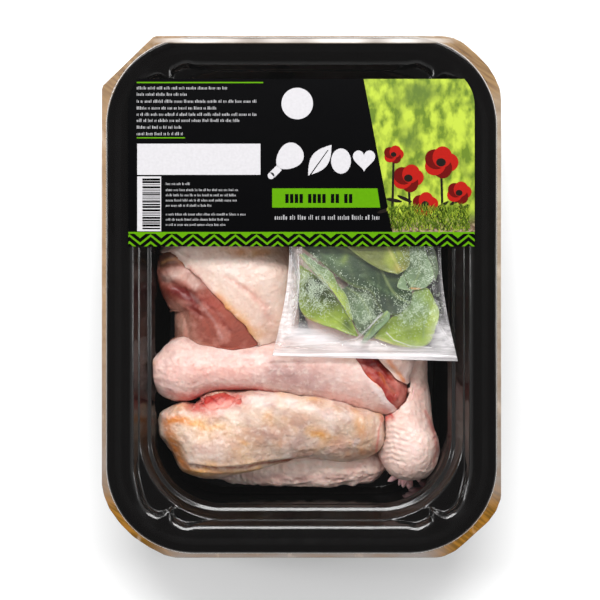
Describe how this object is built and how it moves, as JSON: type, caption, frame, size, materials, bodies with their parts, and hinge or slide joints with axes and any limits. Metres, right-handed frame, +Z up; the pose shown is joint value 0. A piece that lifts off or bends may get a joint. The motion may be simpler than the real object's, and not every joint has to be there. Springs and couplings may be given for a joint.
{
  "type": "meat tray pack",
  "caption": "Shallow black rounded tray sealed with clear film and a printed band, holding raw poultry joints and a small clear bag of leaves.",
  "frame": {"origin": "centre of the tray's base, on the surface that it lies on", "axes": "+X towards the pack's right, +Y towards the end with the printed label, +Z up through the lid film"},
  "size_m": [0.177, 0.2314, 0.0467],
  "materials": {
    "tray_plastic": "glossy thermoformed black polypropylene",
    "lid_film": "clear glossy sealing film",
    "label_print": "printed film, black and green",
    "chicken_skin": "moist raw poultry skin",
    "chicken_flesh": "wet raw poultry flesh",
    "leaf_bag": "clear plastic bag with green leaves in it"
  },
  "bodies": {
    "root": {"tray": "tray_plastic", "lid_film": "lid_film", "printed_label": "label_print", "thigh_upper_skin": "chicken_skin", "thigh_upper_flesh": "chicken_flesh", "drumstick_middle_skin": "chicken_skin", "drumstick_middle_flesh": "chicken_flesh", "thigh_lower_skin": "chicken_skin", "thigh_lower_flesh": "chicken_flesh", "wing_under": "chicken_skin", "drumstick_right_skin": "chicken_skin", "drumstick_right_flesh": "chicken_flesh", "breast_under_bag": "chicken_skin", "leaf_bag": "leaf_bag"}
  },
  "joints": []
}
